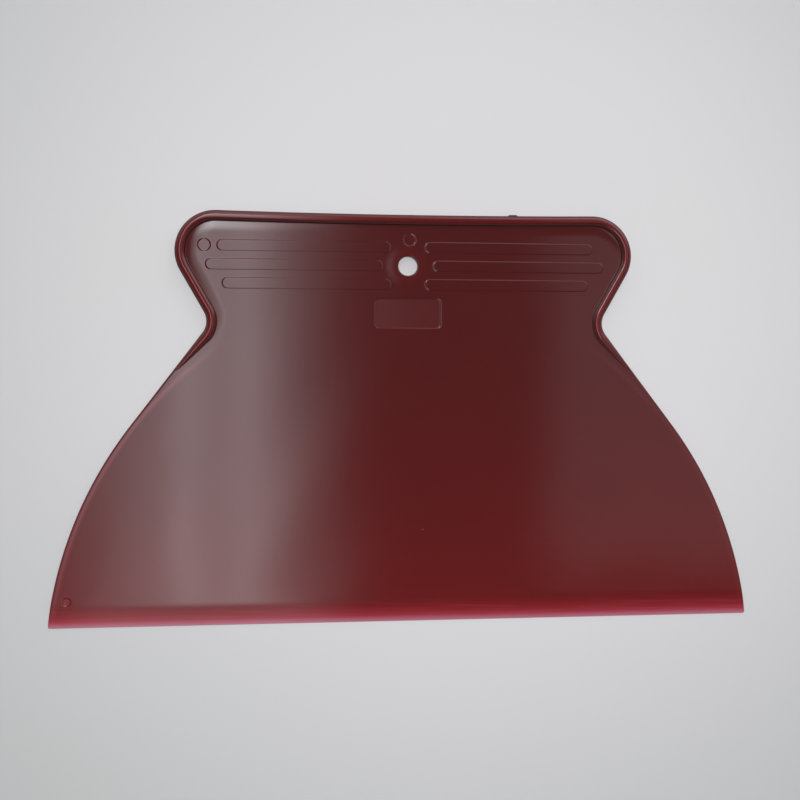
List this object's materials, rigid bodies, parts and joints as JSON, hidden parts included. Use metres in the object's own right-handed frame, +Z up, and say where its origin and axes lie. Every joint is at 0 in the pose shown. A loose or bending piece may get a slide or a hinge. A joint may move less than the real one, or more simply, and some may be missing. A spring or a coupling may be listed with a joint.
{
  "type": "pan scraper",
  "caption": "Wide flexible plastic hand scraper with a thin springy scraping edge, a bead-rimmed ribbed grip and a hanging hole.",
  "frame": {"origin": "middle of the scraping edge, at the level of the table that the part lies on", "axes": "+X along the scraping edge, +Y from that edge towards the grip, +Z up out of the ribbed front face"},
  "size_m": [0.28, 0.163, 0.005],
  "materials": {
    "burgundy_plastic": "glossy moulded polypropylene, burgundy, turning see-through pink where it thins to the scraping edge"
  },
  "bodies": {
    "root": {"scraper_body": "burgundy_plastic"}
  },
  "joints": []
}
